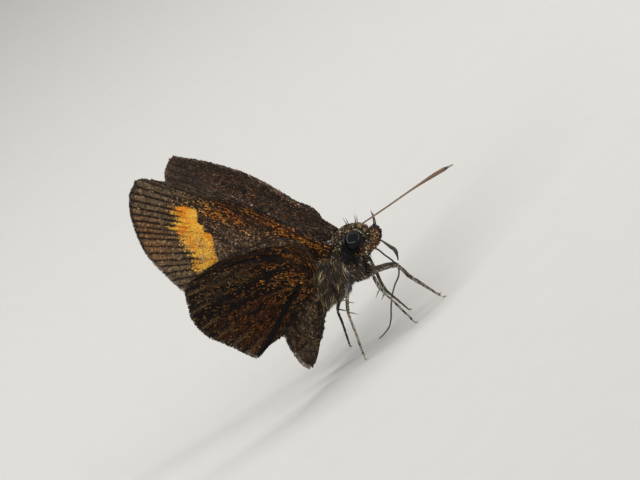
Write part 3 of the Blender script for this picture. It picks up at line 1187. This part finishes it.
horn = scale_material("horn", 0.42, 0.35, 0.03, PALE_SHEEN)
for word, side in SIDES.items():
    dice = np.random.default_rng(31 if side < 0 else 32)
    path = curve_through(np.array(PALP_ROUTE) * (1, side, 1), PALP_POINTS)
    radii = tapered(path, PALP_RADII)
    part = tube(path, radii, around=PALP_AROUND)
    colours = mottle(part[0], 0.3, 13)[:, None] * (50, 34, 20) + (36, 25, 18)
    share = ring_tones(np.linspace(0, 1, PALP_POINTS), PALP_AROUND)
    colours = mix(colours, (30, 22, 18), rise(share, 0.6, 0.65))
    add_tinted(f"palp_{word}_core", [part], [colours], horn, "palp_gold", f"palp_{word}")
    share, turn, place, run, normal = on_tube(path, radii, PALP_SCALES, dice, 0.02, 0.68)
    bare = rise(share, 0.62, 0.65)
    front = rise(share, 0.44, 0.5) * rise(normal @ PALP_FRONT, 0.3, 0.6)
    lie = run + PALP_LIE * 0.6 + dice.normal(0.0, 0.35, (len(share), 3))
    along = lean_on(normal, lie, dice.uniform(0.25, 0.6, len(share)) * (1 - 0.8 * bare))
    colours = pick(dice, len(share), *PALP_HAIR) * dice.uniform(0.6, 1.15, (len(share), 1))
    colours = mix(colours, NEEDLE_BROWN, np.maximum(bare, 0.85 * front))
    across, face = twisted(along, normal, dice.normal(0.0, 0.8, len(share)))
    length = dice.uniform(0.14, 0.24, len(share)) * (1 - 0.5 * bare)
    width = dice.uniform(0.08, 0.14, len(share)) * (1 - 0.4 * bare)
    dress(add_scales(
        f"palp_{word}_scales", place, along, across, face, length, width, BROAD_RISE, colours, (share, turn)
    ), hair, "palp_gold")

# The feelers.
# Each is a thread of about forty joints, straw-coloured below and palest between them, that
# thickens to a slim club and ends in a short bent point. The far one droops.
FEELER_ROUTES = {
    "right": (
        (3.1, -0.35, 7.5), (5.6, -1.15, 7.68), (8.2, -2.05, 7.9), (10.1, -2.75, 7.98), (10.85, -3.0, 7.95),
    ),
    "left": ((3.1, 0.35, 7.45), (3.8, 2.5, 5.75), (4.35, 4.7, 3.95), (4.5, 5.4, 3.35), (4.3, 5.75, 2.6)),
}
FEELER_RADII = (
    (0, 0.12), (0.03, 0.12), (0.05, 0.062), (0.55, 0.066), (0.68, 0.095), (0.82, 0.145), (0.91, 0.14),
    (0.94, 0.09), (1, 0.05),
)
FEELER_JOINTS = 42
FEELER_POINTS = 340

for word, route in FEELER_ROUTES.items():
    path = curve_through(route, FEELER_POINTS)
    share = np.linspace(0, 1, FEELER_POINTS)
    joint = np.exp(-(((share * FEELER_JOINTS % 1 - 0.5) / 0.16) ** 2))
    radii = tapered(path, FEELER_RADII) * (1 - 0.14 * joint)
    ring, tip = rise(share, 0.91, 0.93), rise(share, 0.94, 0.96)
    brown = mix((78, 62, 44), (70, 52, 38), rise(share, 0.55, 0.7))
    straw = mix((176, 150, 108), (184, 132, 74), rise(share, 0.5, 0.65))
    brown = layer(brown, ((34, 28, 24), ring), ((120, 118, 104), tip))
    straw = layer(straw, ((40, 32, 26), ring), ((150, 148, 132), tip))
    if word == "left":
        brown, straw = mix(brown, (40, 34, 32), 0.5), mix(straw, (52, 46, 42), 0.7)
    lower = 0.5 - 0.5 * np.sin(np.arange(AROUND) * tau / AROUND)
    tones = mix(brown[:, None], straw[:, None], (0.25 + 0.6 * lower) * (0.3 + 0.7 * joint)[:, None])
    tones = np.concatenate([tones.reshape(-1, 3), tones[0, :1], tones[-1, :1]])
    add_tinted(f"feeler_{word}", [tube(path, radii)], [tones], horn, "horn_brown", f"antenna_{word}")

# The tongue.
# A thin dark tube hangs from under the palps and is laid back between the legs, its tip on
# the floor.
TONGUE_ROUTE = (
    (2.9, 0, 5.72), (3.36, 0, 5.5), (3.66, 0, 4.75), (3.93, 0, 3.9), (3.95, 0, 3.45), (3.72, 0, 3.05),
    (3.1, 0, 2.6), (2.45, 0, 2.0), (2.0, 0, 1.4), (1.58, 0, 0.78), (1.2, 0, 0.4), (0.7, 0, 0.2),
    (0.15, 0, 0.1),
)
TONGUE_RADII = ((0, 0.08), (0.1, 0.062), (0.9, 0.052), (1, 0.035))
TONGUE_POINTS = 260

path = curve_through(TONGUE_ROUTE, TONGUE_POINTS)
rings = 1 - 0.06 * (np.arange(TONGUE_POINTS) % 4 < 1)
part = tube(path, tapered(path, TONGUE_RADII) * rings)
colours = mix((54, 36, 24), (24, 18, 15), mottle(part[0], 0.6, 14))
tongue_skin = scale_material("tongue_skin", 0.3, 0.45, 0.0, PALE_SHEEN)
add_tinted("tongue", [part], [colours], tongue_skin, "tongue_brown", "proboscis_upper", "proboscis_lower")

# The legs.
# Each has a stout thigh, a shin and a foot of five joints with two claws, under short lying
# hairs that are shaggy on the thighs. The middle and hind shins have spurs. The near legs are
# paler, and banded with cream.
LEG_SIDE = (0.2, 1.0, 0.1)
SPIKE_SIDE = (0.3, 1.0, 0.2)
LEG_SCALES = 1300
LEG_POINTS = 260
FOOT_RISE = 0.1
CLAWS = ((0.5, 0.45, -0.05), (0.5, -0.45, -0.05))
SPURS = {"fore": (), "mid": (-0.85, 0.0, -0.5), "hind": (0.7, 0.0, -0.7)}
SPUR_LENGTH = 0.75
TARSUS_JOINTS = 5
# Each leg's hip, knee, ankle and foot, and its dark and pale tones.
LEGS = {
    "fore_right": (
        ((0.9, -0.7, 4.8), (3.99, -1.0, 3.93), (4.24, -0.8, 2.66), (5.42, -0.45, 0)),
        (66, 51, 40), (196, 180, 156),
    ),
    "fore_left": (
        ((0.9, 0.7, 4.8), (3.95, 1.05, 3.7), (4.25, 1.05, 2.5), (5.27, 1.05, 0)),
        (58, 49, 40), (136, 120, 96),
    ),
    "mid_right": (
        ((0.9, -0.9, 5.2), (2.26, -2.0, 5.3), (2.13, -2.0, 3.45), (2.83, -2.1, 0)),
        (78, 65, 52), (214, 204, 186),
    ),
    "mid_left": (
        ((0.9, 0.9, 5.2), (2.7, 2.2, 5.2), (2.41, 2.05, 2.16), (3.01, 2.1, 0)),
        (62, 58, 36), (118, 112, 68),
    ),
    "hind_right": (
        ((0.1, -0.9, 4.9), (0.5, -2.25, 5.3), (-0.58, -2.4, 3.4), (-1.43, -2.83, 0)),
        (92, 78, 60), (206, 190, 162),
    ),
    "hind_left": (
        ((0.3, 0.9, 4.7), (0.45, 2.1, 4.3), (-1.07, 2.4, 2.88), (-1.83, 2.83, 0)),
        (46, 39, 35), (90, 80, 70),
    ),
}


def leg_path(hip, knee, ankle, foot, count):
    """The leg's smooth way from hip to foot, rounded at knee and ankle, and the shares of those two."""
    hip, knee, ankle, foot = (np.array(place, float) for place in (hip, knee, ankle, foot))
    keys = [hip + (knee - hip) * q for q in (0, 0.35, 0.7, 0.84)]
    keys += [knee + (ankle - knee) * q for q in (0.16, 0.5, 1)]
    keys += [ankle + (foot - ankle) * q for q in (0.35, 0.7, 0.93)] + [foot]
    path = curve_through(keys, count)
    shares = [np.argmin(np.linalg.norm(path - place, axis=1)) / (count - 1) for place in (knee, ankle)]
    return path, *shares


def toe_share(share, ankle):
    """How many joints of the foot lie before each share of the way along a leg."""
    return np.clip((share - ankle) / (1 - ankle), 0, 1) * TARSUS_JOINTS


def spike(root, way, length, radius):
    """A short tapered spur from root along way."""
    path = root + np.linspace(0, 1, 9)[:, None] * unit(np.asarray(way, float)) * length
    radii = tapered(path, ((0, radius), (0.5, radius * 0.75), (1, radius * 0.25)))
    return tube(path, radii, SPIKE_SIDE, around=6)


for name, (route, dark, pale) in LEGS.items():
    pair = name.split("_")[0]
    dice = np.random.default_rng(sum(map(ord, name)))
    path, knee, ankle = leg_path(*route, LEG_POINTS)
    path[:, 2] = np.maximum(path[:, 2], FOOT_RISE)
    share = np.linspace(0, 1, LEG_POINTS)
    toe = toe_share(share, ankle)
    joint = np.exp(-((((toe + 0.5) % 1 - 0.5) / 0.09) ** 2)) * (share > ankle)
    radii = (1 - 0.25 * joint) * tapered(path, (
        (0, 0.2), (knee * 0.3, 0.18), (knee * 0.6, 0.1), (knee, 0.085), (knee + 0.04, 0.075),
        ((knee + ankle) / 2, 0.095), (ankle - 0.03, 0.1), (ankle + 0.015, 0.07), (1, 0.05),
    ))
    band = rise(mottle(path, 0.7, 15), 0.45, 0.7) * 0.6 + 0.4 * (share > ankle) * (toe % 1 > 0.4)
    hidden = fall(share, knee, knee * 1.35) * (pair != "fore")
    tones = ring_tones(layer(dark, (pale, band * 0.8), ((48, 38, 30), hidden)))
    parts = [tube(path, radii, LEG_SIDE)]
    parts += [spike(np.array(route[3]) + (0, 0, FOOT_RISE), way, 0.22, 0.035) for way in CLAWS]
    if SPURS[pair]:
        spurs = ((ankle, 1.0), (ankle, 0.7), ((knee + 2 * ankle) / 3, 0.8))
        for q, size in spurs[: 3 if pair == "hind" else 2]:
            way = np.array(SPURS[pair]) + (0.0, 0.35 if size < 0.9 else -0.15, 0.0)
            parts.append(spike(read_line(path, q), way, SPUR_LENGTH * size, 0.05))
    tones = [tones] + [mix(dark, pale, 0.3)] * (len(parts) - 1)
    add_tinted(f"leg_{name}_limb", parts, tones, horn, "horn_brown", f"leg_{name}")
    q, turn, place, run, normal = on_tube(path, radii, LEG_SCALES, dice, 0.01, 0.93, LEG_SIDE)
    shaggy = fall(q, *np.array((0.3, 0.55) if pair == "fore" else (0.95, 1.35)) * knee)
    lie = run + dice.normal(0, 0.12, (len(q), 3))
    start = lean_on(normal, lie, dice.uniform(0.05, 0.2, len(q)) + 0.2 * shaggy)
    end = unit(mix(run, (0.1, 0.0, -1.0), shaggy) + dice.normal(0, 0.1, (len(q), 3)))
    to_hem = np.clip((place[:, 2] - SKIRT_END) * dice.uniform(0.7, 1.05, len(q)), 0.15, 0.9)
    length = dice.uniform(0.1, 0.17, len(q)) * (1 - shaggy) + (to_hem if pair == "mid" else 0.3) * shaggy
    colours = layer(
        pick(dice, len(q), (dark, np.array(dark) * 0.5, pale, WHITE_HAIR), (40, 30, 22, 8)),
        (pale, 0.7 * (q > ankle) * (toe_share(q, ankle) % 1 > 0.55) * (dice.random(len(q)) < 0.6)),
        ((56, 43, 32), 0.85 * shaggy * (dice.random(len(q)) < 0.93)),
    )
    width = dice.uniform(0.035, 0.06, len(q))
    dress(add_hairs(
        f"leg_{name}_scales", place, start, end, length, width,
        colours * dice.uniform(0.7, 1.1, (len(q), 1)), (q, turn),
    ), hair, "horn_brown")

# The skirts.
# The base of each foreleg is a short stout joint under the neck, clad in broad flecked scales.
# Hairs hang from it to a hem, and a comb of seven dark bristles stands out in front of it.
COXA_ROUTE = ((1.3, 0.8, 5.6), (1.88, 1.1, 5.3), (1.85, 1.2, 4.9), (1.72, 1.2, 4.7))
COXA_RADII = ((0, 0.25), (0.4, 0.38), (0.8, 0.36), (1, 0.2))
COXA_BROWN = (50.0, 37.0, 27.0)
COMB_BLACK = (13.0, 12.0, 9.0)
COXA_SCALES = 1800
COXA_HAIRS = 900
COMB_ROUTE = ((2.38, 2.2, 6.05), (2.2, 2.2, 5.5), (1.93, 2.2, 4.9))
COMB_RADII = ((0, 0.06), (0.5, 0.1), (1, 0.06))
COMB_TEETH = 7
COMB_WAY = (0.83, 0.12, -0.4)

bristle = scale_material("bristle", 0.65, 0.06, 0.0, PALE_SHEEN)
for word, side in SIDES.items():
    dice = np.random.default_rng(71 if side < 0 else 72)
    mirror = (1.0, side, 1.0)
    path = curve_through(np.array(COXA_ROUTE) * mirror, 60)
    comb = curve_through(np.array(COMB_ROUTE) * mirror, 40)
    radii = tapered(path, COXA_RADII)
    parts = [tube(path, radii), tube(comb, tapered(comb, COMB_RADII), around=8)]
    for q in np.linspace(0.04, 0.98, COMB_TEETH):
        parts.append(spike(read_line(comb, q), np.array(COMB_WAY) * mirror, 0.42, 0.055))
    tones = [COXA_BROWN] + [COMB_BLACK] * (1 + COMB_TEETH)
    add_tinted(f"coxa_{word}", parts, tones, bristle, "horn_brown")
    for kind, count in (("scales", COXA_SCALES), ("hairs", COXA_HAIRS)):
        share, turn, place, run, normal = on_tube(path, radii, count, dice, 0.02, 0.98)
        end = unit(np.array([0.05, 0.0, -1.0]) + dice.normal(0, 0.16, (len(share), 3)))
        colours = pick(dice, len(share), *SKIRT_HAIR) * dice.uniform(0.6, 1.1, (len(share), 1))
        colours = mix(colours, CHEEK_BLACK, on_cheek(place))
        if kind == "scales":
            along = lean_on(normal, end, dice.uniform(0.15, 0.45, len(share)))
            across, face = twisted(along, normal, dice.normal(0.0, 0.5, len(share)))
            length, width = dice.uniform(0.2, 0.34, len(share)), dice.uniform(0.07, 0.12, len(share))
            skirt = add_scales(
                f"skirt_{word}_scales", place, along, across, face, length, width, BROAD_RISE, colours,
                (share, turn),
            )
        else:
            start = unit(end + normal * dice.uniform(0.1, 0.6, (len(share), 1)))
            length = np.clip((place[:, 2] - SKIRT_END) * dice.uniform(0.6, 1.03, len(share)), 0.1, 1.2)
            width = dice.uniform(0.03, 0.05, len(share))
            skirt = add_hairs(f"skirt_{word}_hairs", place, start, end, length, width, colours, (share, turn))
        dress(skirt, hair, "body_brown")
